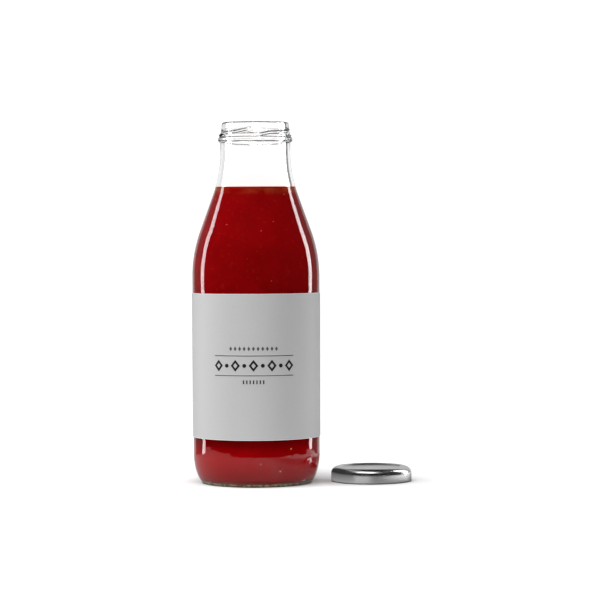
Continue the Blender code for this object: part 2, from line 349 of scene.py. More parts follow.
CARD_ASIDE = (cad_bounds[0][0] + cad_bounds[1][0]) / 2 + 14.9 * MM
CARD_SIZE = (60 * MM, 34 * MM)
CARD_FOOT = (1 * MM, 8 * MM)
CARD_PAINTED_REFLECTION = (0.35, 0.03)


def either(factor, first, second):
    """A shader that is the second where the factor is 1, and the first where it is 0."""
    choose = nodes.new("ShaderNodeMixShader")
    for socket, given in zip(choose.inputs, (factor, first.outputs[0], second.outputs[0])):
        links.new(given, socket)
    return choose


bpy.ops.object.select_all(action="DESELECT")
bpy.ops.mesh.primitive_plane_add(
    size=1, location=(CARD_ASIDE, 0, CARD_SIZE[1] / 2), rotation=(0, math.pi / 2, 0)
)
card = bpy.context.object
card.name = "card"
bpy.ops.transform.resize(value=(1, CARD_SIZE[0], CARD_SIZE[1]))
bpy.ops.object.transform_apply(location=True, rotation=True, scale=True)
gloss_only(card)
card_finish = new_material("card_black")
place, parts = object_place()
# The card's foot glows, a painted reflection of the table low on the lid; above it the card is dark.
glow = nodes.new("ShaderNodeEmission")
painted_reflection_foot = mapped(parts["Z"], CARD_FOOT[0], CARD_FOOT[1], CARD_PAINTED_REFLECTION[0], CARD_PAINTED_REFLECTION[1])
links.new(painted_reflection_foot, glow.inputs["Strength"])
behind = nodes.new("ShaderNodeNewGeometry").outputs["Backfacing"]
end_material(either(behind, glow, nodes.new("ShaderNodeBsdfTransparent")))
card.data.materials.append(card_finish)

# Glass bottle
# One blown piece of clear glass: lip, four thread starts, bead, waisted neck, shoulders, a shallow
# panel for the label, a rounded heel and a knurled foot ring. Turned, with its marks pressed out.

BOTTLE_HEIGHT = bottle_high.z
STEPS = 256
WALL = 2.8 * MM
RIM_RADIUS = 21.2 * MM
RIM_ROUNDING = 1.2 * MM
RIM_DEPTH = 4.8 * MM
BORE_RADIUS = 19.0 * MM
FINISH_RADIUS = 21.5 * MM
BEAD_RADIUS = 23.7 * MM
BEAD_HEIGHT = 217.7 * MM
BEAD_HALF_HEIGHT = 1.75 * MM
THREAD_COUNT = 4
THREAD_SPAN = math.radians(82)
THREAD_FIRST = math.radians(-176)
THREAD_ENDS = (0.08, 0.12)
THREAD_PROUD = 1.15 * MM
THREAD_HALF_WIDTH = 1.25 * MM
THREAD_RISES = ((0.0, 219.9 * MM), (0.25, 221.6 * MM), (0.65, 222.2 * MM), (1.0, 224.4 * MM))
NECK_RADIUS = 22.2 * MM
NECK_HEIGHT = 211.0 * MM
SHOULDER_HEIGHT = 131.0 * MM
NECK_SWEEP = 84.0 * MM
SHOULDER_SWEEP = 85.0 * MM
PANEL_TOP = 121.5 * MM
PANEL_BOTTOM = 29.1 * MM
PANEL_RADIUS_TOP = 40.25 * MM
PANEL_RADIUS_BOTTOM = 40.0 * MM
FOOT_BODY_RADIUS = 40.05 * MM
HEEL_HEIGHT = 20.0 * MM
HEEL_DEPTH = 7.65 * MM
FOOT_WIDTH = 3.0 * MM
PUSH_UP = 5.0 * MM
INNER_HEEL_HEIGHT = 14.5 * MM
INNER_HEEL_DEPTH = 7.0 * MM
BASE_GLASS = 2.9 * MM
INNER_PUSH_UP = 5.5 * MM
FOOT_RING_HEIGHT = 2.3 * MM
FOOT_RING_INSET = 0.35 * MM
FROSTED_HEIGHT = 1.9 * MM
KNURLS = 64
KNURL_DEPTH = 0.3 * MM
MARK_ANGLE = math.radians(-37)
MARK_HEIGHT = 13.2 * MM
MARK_RADIUS = 4.2 * MM
MARK_PROUD = 0.55 * MM
MARK_BUMPS = ((-0.2, 0.55), (0.45, 0.1), (-0.5, -0.1), (0.1, -0.5), (0.5, -0.6), (-0.45, -0.6))
MARK_BUMP_RADIUS = 1.2 * MM
DOT_ANGLES = (-105, -99.5, -78, -66.5, -54, -45)
DOT_HEIGHT = 11.4 * MM
DOT_RADIUS = 1.25 * MM
DOT_PROUD = 0.8 * MM
MARKED = (math.radians(-112), math.radians(-18))


def arc(middle, radii, start, end, count):
    """count + 1 points of an ellipse in the (radius, height) plane, angles in degrees."""
    turn = [math.radians(start + (end - start) * i / count) for i in range(count + 1)]
    return [(middle[0] + radii[0] * math.cos(a), middle[1] + radii[1] * math.sin(a)) for a in turn]


def run(start, end, count):
    """count points from start towards end, both left out."""
    parts = [i / (count + 1) for i in range(1, count + 1)]
    return [(start[0] + (end[0] - start[0]) * t, start[1] + (end[1] - start[1]) * t) for t in parts]


def shoulder_curve(inset, neck_count, middle_count, shoulder_count):
    """The S from neck to body, inset into the wall: a hollow arc, a slope and a full arc."""
    rise = NECK_HEIGHT - SHOULDER_HEIGHT
    widen = BODY_RADIUS - NECK_RADIUS
    sweeps = NECK_SWEEP + SHOULDER_SWEEP
    reach = math.hypot(sweeps - widen, rise)
    slope = math.degrees(math.atan2(rise, sweeps - widen) - math.acos(sweeps / reach))
    hollow = NECK_SWEEP + inset
    full = SHOULDER_SWEEP - inset
    neck = arc((NECK_RADIUS + NECK_SWEEP, NECK_HEIGHT), (hollow, hollow), 180, 180 + slope, neck_count)
    shoulder = arc(
        (BODY_RADIUS - SHOULDER_SWEEP, SHOULDER_HEIGHT), (full, full), slope, 0, shoulder_count
    )
    return neck + run(neck[-1], shoulder[0], middle_count) + shoulder


def dome(radius, low, rise, count):
    """A push-up from its edge in to the axis, level at both ends."""
    parts = [1 - i / count for i in range(1, count + 1)]
    return [(radius * t, low + rise * (1 + math.cos(math.pi * t)) / 2) for t in parts]


def inner_curve(inset):
    """The inside of the bottle from the foot of the neck down to the axis."""
    wall = BODY_RADIUS - WALL
    middle = (wall - INNER_HEEL_DEPTH, BASE_GLASS + INNER_HEEL_HEIGHT)
    radii = (INNER_HEEL_DEPTH - inset, INNER_HEEL_HEIGHT - inset)
    heel = arc(middle, radii, 0, -90, 18)
    base = dome(middle[0], BASE_GLASS + inset, INNER_PUSH_UP, 12)
    return shoulder_curve(WALL + inset, 14, 2, 16) + heel + base


def turned(name, outline, steps, middle):
    """A shape turned about an upright axis: one point drawn out along the outline, then spun."""
    bpy.ops.object.select_all(action="DESELECT")
    bpy.ops.mesh.primitive_plane_add(size=1 * MM, location=(0, 0, 0))
    piece = bpy.context.object
    piece.name = name
    bpy.ops.object.mode_set(mode="EDIT")
    bpy.ops.mesh.select_mode(type="VERT")
    bpy.ops.mesh.select_all(action="SELECT")
    bpy.ops.mesh.merge(type="CENTER")
    at = Vector((middle.x + outline[0][0], middle.y, outline[0][1]))
    bpy.ops.transform.translate(value=at)
    for radius, level in outline[1:]:
        to = Vector((middle.x + radius, middle.y, level))
        bpy.ops.mesh.extrude_vertices_move(TRANSFORM_OT_translate={"value": to - at})
        at = to
    bpy.ops.mesh.select_all(action="SELECT")
    bpy.ops.mesh.spin(steps=steps, angle=math.tau, center=(middle.x, middle.y, 0), axis=(0, 0, 1))
    bpy.ops.mesh.select_all(action="SELECT")
    bpy.ops.mesh.remove_doubles(threshold=0.002 * MM)
    bpy.ops.mesh.normals_make_consistent(inside=False)
    bpy.ops.object.mode_set(mode="OBJECT")
    bpy.ops.object.shade_smooth_by_angle(angle=math.radians(50))
    return piece


inside = list(reversed(inner_curve(0)))
lip_middle = ((BORE_RADIUS + RIM_RADIUS) / 2, BOTTLE_HEIGHT - RIM_ROUNDING)
lip = arc(lip_middle, ((RIM_RADIUS - BORE_RADIUS) / 2, RIM_ROUNDING), 180, 0, 14)
bead = arc((NECK_RADIUS, BEAD_HEIGHT), (BEAD_RADIUS - NECK_RADIUS, BEAD_HALF_HEIGHT), 80, -85, 14)
finish_top = (FINISH_RADIUS, BOTTLE_HEIGHT - RIM_DEPTH)
finish = run(lip[-1], finish_top, 6) + [finish_top] + run(finish_top, bead[0], 18)
panel = [
    (PANEL_RADIUS_TOP, PANEL_TOP - 0.5 * MM),
    (PANEL_RADIUS_BOTTOM, PANEL_BOTTOM + 0.5 * MM),
]
foot_radius = FOOT_BODY_RADIUS - HEEL_DEPTH
body_top = (BODY_RADIUS, PANEL_TOP)
body_foot = (FOOT_BODY_RADIUS, PANEL_BOTTOM)
heel_end = math.degrees(math.asin(1 - FOOT_RING_HEIGHT / HEEL_HEIGHT))
heel = arc((foot_radius, HEEL_HEIGHT), (HEEL_DEPTH, HEEL_HEIGHT), 0, -heel_end, 40)
ring_radius = heel[-1][0] - FOOT_RING_INSET
ring = arc(
    (foot_radius, FOOT_RING_HEIGHT), (ring_radius - foot_radius, FOOT_RING_HEIGHT), 0, -90, 8
)
foot = ring + run(ring[-1], (foot_radius - FOOT_WIDTH, 0), 3) + [(foot_radius - FOOT_WIDTH, 0)]
shoulders = shoulder_curve(0, 24, 4, 28)
outside = (
    finish + bead + shoulders + run(shoulders[-1], body_top, 4) + [body_top] + panel[:1]
    + run(panel[0], panel[1], 8) + panel[1:] + [body_foot] + run(body_foot, heel[0], 12)
    + heel + foot + dome(foot_radius - FOOT_WIDTH, 0, PUSH_UP, 10)
)
bottle = turned(
    "bottle_glass", inside + run(inside[-1], lip[0], 6) + lip + outside, STEPS, AXIS
)


def thread_level(part):
    """Height of a thread's middle: a steep start, a level stretch, a rise to its end."""
    for (low, start), (high, end) in zip(THREAD_RISES, THREAD_RISES[1:]):
        if part <= high:
            return start + (end - start) * (part - low) / (high - low)
    return THREAD_RISES[-1][1]


def bump(distance, radius):
    """A smooth hump: 1 in the middle, 0 at radius and beyond."""
    part = min(distance / radius, 1)
    return (1 - part * part) ** 2


def raised(angle, level):
    """How far the mould's marks stand out of the wall at this angle and height."""
    out = 0.0
    if BEAD_HEIGHT < level < BOTTLE_HEIGHT - RIM_ROUNDING:
        part = ((angle - THREAD_FIRST) % (math.tau / THREAD_COUNT)) / THREAD_SPAN
        if part < 1:
            ends = min(1, part / THREAD_ENDS[0], (1 - part) / THREAD_ENDS[1])
            off = abs(level - thread_level(part))
            out += THREAD_PROUD * ends * bump(off, THREAD_HALF_WIDTH) ** 0.7
    if FOOT_RING_HEIGHT + 0.5 * MM < level < HEEL_HEIGHT:
        reach = BODY_RADIUS - 1 * MM
        aside = (angle - MARK_ANGLE) * reach
        up = level - MARK_HEIGHT
        off = math.hypot(aside, up)
        if off < MARK_RADIUS:
            out += MARK_PROUD * min(1, 4 * bump(off, MARK_RADIUS))
            for across, along in MARK_BUMPS:
                spot = math.hypot(aside - across * MARK_RADIUS, up - along * MARK_RADIUS)
                out += MARK_PROUD * bump(spot, MARK_BUMP_RADIUS)
        for degrees in DOT_ANGLES:
            off = math.hypot((angle - math.radians(degrees)) * reach, level - DOT_HEIGHT)
            out += DOT_PROUD * bump(off, DOT_RADIUS)
    return out


def radius_at(points, level):
    """The radius of an outline that runs downwards, at a height."""
    for (wide, high), (narrow, low) in zip(points, points[1:]):
        if low <= level <= high:
            return wide + (narrow - wide) * (high - level) / (high - low)
    return points[-1][0]


bpy.ops.object.mode_set(mode="EDIT")
bpy.ops.mesh.select_mode(type="FACE")
bpy.ops.mesh.select_all(action="DESELECT")
bpy.ops.object.mode_set(mode="OBJECT")
for face in bottle.data.polygons:
    away = Vector((face.center.x - AXIS.x, face.center.y - AXIS.y))
    marked_side = MARKED[0] < math.atan2(away.y, away.x) < MARKED[1]
    outside_face = face.normal.x * away.x + face.normal.y * away.y > 0
    high_enough = 5 * MM < face.center.z < HEEL_HEIGHT
    face.select = marked_side and outside_face and high_enough
bpy.ops.object.mode_set(mode="EDIT")
bpy.ops.mesh.subdivide(number_cuts=2)
bpy.ops.object.mode_set(mode="OBJECT")

WAVES = ((16 * MM, 0.05 * MM), (5 * MM, 0.012 * MM))
HEEL_WAVES = ((11 * MM, 0.1 * MM), (3.5 * MM, 0.018 * MM))
HEEL_WAVES_TOP = 32 * MM
facing = [vertex.normal.copy() for vertex in bottle.data.vertices]
for vertex, normal in zip(bottle.data.vertices, facing):
    away = Vector((vertex.co.x - AXIS.x, vertex.co.y - AXIS.y))
    radius = away.length
    level = vertex.co.z
    on_outside = normal.x * away.x + normal.y * away.y > 0
    if not on_outside or (radius < 25 * MM and level < 100 * MM):
        continue
    angle = math.atan2(away.y, away.x)
    true_radius = radius
    if heel[-1][1] < level < HEEL_HEIGHT:
        true_radius = radius_at(heel, level)
    waves = WAVES + HEEL_WAVES if level < HEEL_WAVES_TOP else WAVES
    wave = sum(noise.noise(vertex.co / size) * depth for size, depth in waves)
    out = true_radius - radius + raised(angle, level)
    out += wave * min(1, (radius - 20 * MM) / (20 * MM) + 0.3)
    if 0.1 * MM < level < FOOT_RING_HEIGHT - 0.1 * MM:
        out -= KNURL_DEPTH * (1 + math.cos(angle * KNURLS)) / 2
    vertex.co.x += away.x / radius * out
    vertex.co.y += away.y / radius * out
bottle.data.update()


def principled(inputs):
    """A Principled BSDF with the numbers, colours and sockets that its inputs are given."""
    node = nodes.new("ShaderNodeBsdfPrincipled")
    for name, given in inputs.items():
        feed(node.inputs[name], given)
    return node


def noise_over(place, scale, detail, distortion=0.0):
    """Noise over a place, from 0 to 1."""
    node = nodes.new("ShaderNodeTexNoise")
    names = ("Vector", "Scale", "Detail", "Distortion")
    for name, given in zip(names, (place, scale, detail, distortion)):
        feed(node.inputs[name], given)
    return node.outputs["Fac"]


MOTTLE_INPUTS = ("Scale", "Detail", "From", "To", "Dark", "Light")
mottle = bpy.data.node_groups.new("mottle", "ShaderNodeTree")
for name in MOTTLE_INPUTS:
    kind = "NodeSocketColor" if name in ("Dark", "Light") else "NodeSocketFloat"
    mottle.interface.new_socket(name, in_out="INPUT", socket_type=kind)
mottle.interface.new_socket("Color", in_out="OUTPUT", socket_type="NodeSocketColor")
mottle.interface.new_socket("Noise", in_out="OUTPUT", socket_type="NodeSocketFloat")
nodes, links = mottle.nodes, mottle.links
given = nodes.new("NodeGroupInput").outputs
speckle = noise_over(object_place()[0], given["Scale"], given["Detail"])
colour = mixed(mapped(speckle, given["From"], given["To"]), given["Dark"], given["Light"])
result = nodes.new("NodeGroupOutput")
links.new(colour, result.inputs["Color"])
links.new(speckle, result.inputs["Noise"])


def mottled(scale, detail, dark, light, start=0.0, end=1.0):
    """The mottle group in the material being built: a colour from dark to light, and its noise."""
    node = nodes.new("ShaderNodeGroup")
    node.node_tree = mottle
    for name, value in zip(MOTTLE_INPUTS, (scale, detail, start, end, dark + (1,), light + (1,))):
        node.inputs[name].default_value = value
    return node.outputs


GLASS_IOR = 1.52
glass = new_material("clear_glass")
clear = principled(
    {"Base Color": (1, 1, 1, 1), "Roughness": 0.0, "IOR": GLASS_IOR, "Transmission Weight": 1.0}
)
passing = nodes.new("ShaderNodeBsdfTransparent")
passing.inputs["Color"].default_value = (0.96, 0.97, 0.96, 1)
seen = nodes.new("ShaderNodeLightPath").outputs
lets_by = math_node("MAXIMUM", seen["Is Shadow Ray"], seen["Is Diffuse Ray"])
end_material(either(lets_by, clear, passing))
bottle.data.materials.append(glass)
# The frosted foot ring. Its mottled olive colour is the ground glass's tone with painted glints of
# light in it.
ground = new_material("foot_ring_glass")
painted_glints = mottled(520, 2, (0.15, 0.11, 0.06), (0.55, 0.52, 0.33), 0.4, 0.62)
frosted = principled(
    {
        "Base Color": painted_glints["Color"],
        "Roughness": 0.35,
        "IOR": GLASS_IOR,
        "Transmission Weight": 0.35,
    }
)
end_material(frosted)
bottle.data.materials.append(ground)
for face in bottle.data.polygons:
    away = Vector((face.center.x - AXIS.x, face.center.y - AXIS.y)).length
    if face.center.z < FROSTED_HEIGHT and away > foot_radius - FOOT_WIDTH:
        face.material_index = 1
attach(bottle, "root")
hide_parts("bottle")

# Passata
# The filling, to just above the shoulders. It wets the wall, so its side lies a hair inside the
# glass, and its surface climbs a little at the edge. Deep red with paler pulp. Its colour holds
# painted shade, darker up the neck and in a thin line at the surface's edge, and painted light,
# a patchy paler band in the top 5 mm and brighter toward the heel.

FILL_HEIGHT = 187.1 * MM
FILL_CLIMB = 0.35 * MM
INTO_WALL = 0.1 * MM
wetted = inner_curve(-INTO_WALL)
below = [point for point in wetted if point[1] < FILL_HEIGHT]
above = [point for point in wetted if point[1] >= FILL_HEIGHT][-1]
edge_level = FILL_HEIGHT + FILL_CLIMB
part = (edge_level - below[0][1]) / (above[1] - below[0][1])
edge_radius = below[0][0] + (above[0] - below[0][0]) * part
surface = [(0, FILL_HEIGHT), (edge_radius * 0.5, FILL_HEIGHT)]
surface += [
    (edge_radius - 3 * FILL_CLIMB * (1 - t), FILL_HEIGHT + FILL_CLIMB * t * t)
    for t in (0, 0.35, 0.6, 0.8, 1)
]
passata = turned("passata_fill", surface + below, 192, AXIS)
sauce = new_material("tomato")
place, parts = object_place()
clouds = noise_over(place, 45, 4, 0.6)
red = mixed(mapped(clouds, 0.35, 0.7), (0.2, 0.0, 0.0006, 1), (0.26, 0.0003, 0.0015, 1))
pulp = mapped(noise_over(place, 420, 3), 0.58, 0.8, 0, 0.8)
red = mixed(pulp, red, (0.36, 0.012, 0.004, 1))
# Painted shade: darker up the neck, from 126 mm to 160 mm.
painted_neck_shade = mapped(parts["Z"], 126 * MM, 160 * MM, 0, 0.42)
red = mixed(painted_neck_shade, red, (0.1, 0.0, 0.0006, 1))
# Painted light: a patchy paler orange band in the top 5 mm of the filling.
painted_top_glow = mapped(parts["Z"], FILL_HEIGHT - 5 * MM, FILL_HEIGHT)
patchy = math_node("MULTIPLY", math_node("SUBTRACT", clouds, 0.4), 4.0)
red = mixed(math_node("MULTIPLY", painted_top_glow, patchy), red, (0.27, 0.075, 0.02, 1))
# Painted shade: a thin dark line just under the surface's edge.
painted_rim_shade = mapped(parts["Z"], FILL_HEIGHT - 0.9 * MM, FILL_HEIGHT - 0.2 * MM)
red = mixed(painted_rim_shade, red, (0.09, 0.011, 0.003, 1))
# Painted light: brighter red from 52 mm down to 8 mm, toward the heel.
painted_heel_glow = mapped(parts["Z"], 52 * MM, 8 * MM)
red = mixed(painted_heel_glow, red, (0.37, 0.0, 0.002, 1))
body = principled(
    {
        "Base Color": red,
        "Roughness": 0.5,
        "IOR": 1.05,
        "Subsurface Weight": 1.0,
        "Subsurface Radius": (1.0, 0.12, 0.06),
        "Subsurface Scale": 5 * MM,
    }
)
end_material(body)
passata.data.materials.append(sauce)
wet = new_material("tomato_wet_surface")
skin = mottled(160, 4, (0.095, 0.002, 0.001), (0.15, 0.007, 0.002))
end_material(principled({"Base Color": skin["Color"], "Roughness": 0.12, "IOR": 1.35}))
passata.data.materials.append(wet)
for face in passata.data.polygons:
    if face.normal.z > 0.5 and face.center.z > FILL_HEIGHT - 0.1 * MM:
        face.material_index = 1
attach(passata, "root")
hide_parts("passata")

# Seeds and flecks
# Single tomato seeds and flecks of pulp pressed against the inside of the glass, each a small
# flattened grain. Those that the photograph shows come first, the others are spread by chance.

FLECK_SINK = 0.05 * MM
seen_seeds = ((-55.4, 23.9, 0.85), (-66.1, 10.5, 0.75), (-147.2, 132.1, 0.6))
seen_flecks = ((-85.4, 14.9, 0.65), (-122.9, 163.4, 0.6), (-44.3, 182.2, 0.5), (-83.0, 159.6, 0.5))
chance = random.Random(11)


def joined(pieces, name):
    """Joins pieces into one of this name."""
    bpy.ops.object.select_all(action="DESELECT")
    for piece in pieces:
        piece.select_set(True)
    bpy.context.view_layer.objects.active = pieces[0]
    bpy.ops.object.join()
    bpy.context.object.name = name
    return bpy.context.object


def add_grains(name, spots, color):
    """Flattened grains at (angle in degrees, height and size in mm) on the inside of the glass."""
    grains = []
    for degrees, level, size in spots:
        angle = math.radians(degrees)
        radius = radius_at(wetted, level * MM) - FLECK_SINK
        bpy.ops.object.select_all(action="DESELECT")
        bpy.ops.mesh.primitive_ico_sphere_add(
            subdivisions=1,
            radius=size * MM,
            location=(
                AXIS.x + radius * math.cos(angle), AXIS.y + radius * math.sin(angle), level * MM
            ),
            rotation=(chance.uniform(-1, 1), chance.uniform(-1, 1), angle),
            scale=(0.5, 0.75, 1),
        )
        bpy.ops.object.transform_apply(location=True, rotation=True, scale=True)
        grains.append(bpy.context.object)
    piece = joined(grains, name)
    bpy.ops.object.shade_smooth()
    skin = new_material(name)
    pale = mottled(900, 2, tuple(0.6 * c for c in color), color)
    end_material(principled({"Base Color": pale["Color"], "Roughness": 0.45}))
    piece.data.materials.append(skin)
    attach(piece, "root")


def chance_spots(count, small, large):
    """Spots above and below the label, more of them above, as there is more glass."""
    spots = []
    for _ in range(count):
        low, high = (123, 184) if chance.random() < 0.75 else (7, 27)
        spots.append(
            (chance.uniform(0, 360), chance.uniform(low, high), chance.uniform(small, large))
        )
    return tuple(spots)


add_grains("tomato_seeds", seen_seeds + chance_spots(7, 0.3, 0.5), (0.8, 0.38, 0.1))
add_grains("pulp_flecks", seen_flecks + chance_spots(60, 0.12, 0.3), (0.5, 0.09, 0.05))

# Paper label
# A grey printed sleeve glued round the straight wall, a shade wider at the top, whose ends stop
# short of each other at the back. Its cut edges show the white of the paper.

LABEL_BOTTOM = 29.8 * MM
LABEL_TOP = 120.8 * MM
LABEL_RADIUS_BOTTOM = 40.5 * MM
LABEL_RADIUS_TOP = 40.8 * MM
PAPER = 0.14 * MM
BARE_EDGE = 0.3 * MM
SEAM_START = math.radians(90)
SEAM_END = math.radians(97.5)
LABEL_SIDES = 288
bpy.ops.object.select_all(action="DESELECT")
bpy.ops.mesh.primitive_cylinder_add(
    vertices=LABEL_SIDES,
    radius=LABEL_RADIUS_BOTTOM - PAPER,
    depth=LABEL_TOP - LABEL_BOTTOM,
    end_fill_type="NOTHING",
    location=(AXIS.x, AXIS.y, (LABEL_TOP + LABEL_BOTTOM) / 2),
)
label = bpy.context.object
label.name = "label_paper"
bpy.ops.object.transform_apply(location=True, rotation=True, scale=True)
bpy.ops.object.mode_set(mode="EDIT")
bpy.ops.mesh.select_mode(type="FACE")
bpy.ops.mesh.select_all(action="DESELECT")
bpy.ops.object.mode_set(mode="OBJECT")
for face in label.data.polygons:
    angle = math.atan2(face.center.y - AXIS.y, face.center.x - AXIS.x)
    face.select = SEAM_START < angle < SEAM_END
bpy.ops.object.mode_set(mode="EDIT")
bpy.ops.mesh.delete(type="FACE")
bpy.ops.mesh.select_mode(type="VERT")
bpy.ops.mesh.select_all(action="DESELECT")
bpy.ops.object.mode_set(mode="OBJECT")
for vertex in label.data.vertices:
    vertex.select = vertex.co.z > (LABEL_TOP + LABEL_BOTTOM) / 2
bpy.ops.object.mode_set(mode="EDIT")
widen = (LABEL_RADIUS_TOP - PAPER) / (LABEL_RADIUS_BOTTOM - PAPER)
bpy.ops.transform.resize(value=(widen, widen, 1), center_override=(AXIS.x, AXIS.y, LABEL_TOP))
bpy.ops.object.mode_set(mode="OBJECT")
solid = label.modifiers.new("paper", "SOLIDIFY")
solid.thickness = PAPER
solid.offset = 1
bpy.ops.object.modifier_apply(modifier="paper")
bpy.ops.object.shade_smooth_by_angle(angle=math.radians(30))


def relief(height, strength, distance):
    """Low relief in the surface, from a height that changes over it."""
    node = nodes.new("ShaderNodeBump")
    node.inputs["Strength"].default_value = strength
    node.inputs["Distance"].default_value = distance
    links.new(height, node.inputs["Height"])
    return node.outputs["Normal"]


paper = new_material("label_paper")
place, parts = object_place()
fibre = mottled(900, 3, (0.46, 0.46, 0.465), (0.5, 0.5, 0.505))
on_print = band(parts["Z"], LABEL_BOTTOM + BARE_EDGE, LABEL_TOP - BARE_EDGE, 0.05 * MM)
printed = principled(
    {
        "Base Color": mixed(on_print, (0.78, 0.78, 0.77, 1), fibre["Color"]),
        "Roughness": 0.55,
        "Specular IOR Level": 0.3,
        "Normal": relief(fibre["Noise"], 0.05, 0.05 * MM),
    }
)
end_material(printed)
label.data.materials.append(paper)
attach(label, "root")
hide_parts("label")

# Printed pattern
# Flat ink on the front of the label: a row of open lozenges and dots between two thin rules, a
# finer row of lozenges above and a row of short bars below. It stands up by the ink's thickness.

INK = 0.06 * MM
INK_SINK = 0.02 * MM
PRINT_ASIDE = -1.05 * MM
RULE_LENGTH = 52.2 * MM
RULE_WIDTH = 0.5 * MM
RULE_HEIGHTS = (82.4 * MM, 70.1 * MM)
RULE_PARTS = 48
BOLD_HEIGHT = 76.3 * MM
BOLD_TALL = 7.4 * MM
BOLD_WIDE = 6.0 * MM
BOLD_STROKE = 1.25 * MM
BOLD_COUNT = 9
BOLD_DOT = 1.25 * MM
FINE_HEIGHT = 86.8 * MM
FINE_LENGTH = 29.0 * MM
FINE_COUNT = 11
FINE_SIZE = (1.9 * MM, 2.9 * MM)
BAR_HEIGHT = 66.1 * MM
BAR_LENGTH = 12.6 * MM
BAR_COUNT = 7
BAR_SIZE = (0.85 * MM, 2.4 * MM)


def flat_shape(corners, across, up, wide, tall, hole=0.0):
    """A flat shape in the (across, up) plane: a disc, lozenge or bar, open where it has a hole."""
    bpy.ops.object.select_all(action="DESELECT")
    bpy.ops.mesh.primitive_circle_add(
        vertices=corners, radius=0.5, fill_type="NGON", location=(0, 0, 0)
    )
    shape = bpy.context.object
    bpy.ops.transform.resize(value=(wide, tall, 1))
    bpy.ops.object.transform_apply(location=False, rotation=False, scale=True)
    bpy.ops.object.mode_set(mode="EDIT")
    bpy.ops.mesh.select_all(action="SELECT")
    if hole:
        bpy.ops.mesh.inset(thickness=hole, use_even_offset=True)
        bpy.ops.mesh.delete(type="FACE")
        bpy.ops.mesh.select_all(action="SELECT")
        bpy.ops.mesh.subdivide(number_cuts=3)
    bpy.ops.transform.translate(value=(across, up, 0))
    bpy.ops.object.mode_set(mode="OBJECT")
    return shape


def flat_bar(across, up, wide, tall, parts):
    """An upright rectangle of ink in the (across, up) plane, cut into parts so that it can bend."""
    bpy.ops.object.select_all(action="DESELECT")
    bpy.ops.mesh.primitive_grid_add(
        x_subdivisions=parts, y_subdivisions=1, size=1, location=(0, 0, 0)
    )
    bar = bpy.context.object
    bpy.ops.transform.resize(value=(wide, tall, 1))
    bpy.ops.object.transform_apply(location=False, rotation=False, scale=True)
    bpy.ops.object.mode_set(mode="EDIT")
    bpy.ops.mesh.select_all(action="SELECT")
    bpy.ops.transform.translate(value=(across, up, 0))
    bpy.ops.object.mode_set(mode="OBJECT")
    return bar


def lay_ink(name, shapes, darkness):
    """Joins flat shapes, gives them the ink's thickness and bends them round the label."""
    piece = joined(shapes, name)
    solid = piece.modifiers.new("ink", "SOLIDIFY")
    solid.thickness = INK
    solid.offset = 1
    bpy.ops.object.modifier_apply(modifier="ink")
    for vertex in piece.data.vertices:
        across, up, out = vertex.co
        part = (up - LABEL_BOTTOM) / (LABEL_TOP - LABEL_BOTTOM)
        radius = LABEL_RADIUS_BOTTOM + (LABEL_RADIUS_TOP - LABEL_RADIUS_BOTTOM) * part
        angle = (across + PRINT_ASIDE) / radius - math.pi / 2
        reach = radius - INK_SINK + out
        vertex.co = (AXIS.x + reach * math.cos(angle), AXIS.y + reach * math.sin(angle), up)
    bpy.ops.object.mode_set(mode="EDIT")
    bpy.ops.mesh.select_all(action="SELECT")
    bpy.ops.mesh.normals_make_consistent(inside=False)
    bpy.ops.object.mode_set(mode="OBJECT")
    ink = new_material(name)
    film = mottled(1200, 2, (darkness,) * 3, (darkness * 1.5,) * 3)
    coat = {"Base Color": film["Color"], "Roughness": 0.5, "Specular IOR Level": 0.3}
    end_material(principled(coat))
    piece.data.materials.append(ink)
    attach(piece, "root")


def row(count, length):
    """Places of count shapes spread evenly over a length."""
    return [(i / (count - 1) - 0.5) * length for i in range(count)]


bold = []
for i, across in enumerate(row(BOLD_COUNT, RULE_LENGTH - BOLD_WIDE)):
    if i % 2:
        bold.append(flat_shape(16, across, BOLD_HEIGHT, 2 * BOLD_DOT, 2 * BOLD_DOT))
    else:
        bold.append(flat_shape(4, across, BOLD_HEIGHT, BOLD_WIDE, BOLD_TALL, BOLD_STROKE))
lay_ink("ink_lozenges", bold, 0.012)
fine = [
    flat_shape(4, across, FINE_HEIGHT, FINE_SIZE[0], FINE_SIZE[1])
    for across in row(FINE_COUNT, FINE_LENGTH)
]
fine += [flat_bar(0, up, RULE_LENGTH, RULE_WIDTH, RULE_PARTS) for up in RULE_HEIGHTS]
lay_ink("ink_rules", fine, 0.07)
bars = [
    flat_bar(across, BAR_HEIGHT, BAR_SIZE[0], BAR_SIZE[1], 1)
    for across in row(BAR_COUNT, BAR_LENGTH)
]
lay_ink("ink_bars", bars, 0.03)

# Lid
# A twist-off lid of lacquered tinplate lying top up: a crown ring round a sunk middle, a rounded
# shoulder, a short skirt, and an edge curled inwards with a lug for each thread. Its colour has
# painted shade at the foot of the curl and on the pressed step round the sunk middle.

LID_HEIGHT = lid_high.z
TIN = 0.25 * MM
LID_SKIRT_RADIUS = 25.62 * MM
LID_SHOULDER = (5.2 * MM, 4.2 * MM)
LID_PANEL_RADIUS = 18.5 * MM
LID_BEND = 0.1 * MM
LID_LEAN = 5
LID_PANEL_DEPTH = 0.9 * MM
LID_CURL = 1.1 * MM
corner = (LID_SKIRT_RADIUS - LID_SHOULDER[0], LID_HEIGHT - LID_SHOULDER[1])
panel_level = LID_HEIGHT - LID_PANEL_DEPTH
outside = [(0, panel_level)] + run((0, panel_level), (LID_PANEL_RADIUS, panel_level), 5)
bend = (LID_BEND, LID_BEND)
outside += arc((LID_PANEL_RADIUS - LID_BEND, panel_level + LID_BEND), bend, -90, -LID_LEAN, 4)
outside += arc((LID_PANEL_RADIUS + LID_BEND, LID_HEIGHT - LID_BEND), bend, 180 - LID_LEAN, 90, 4)
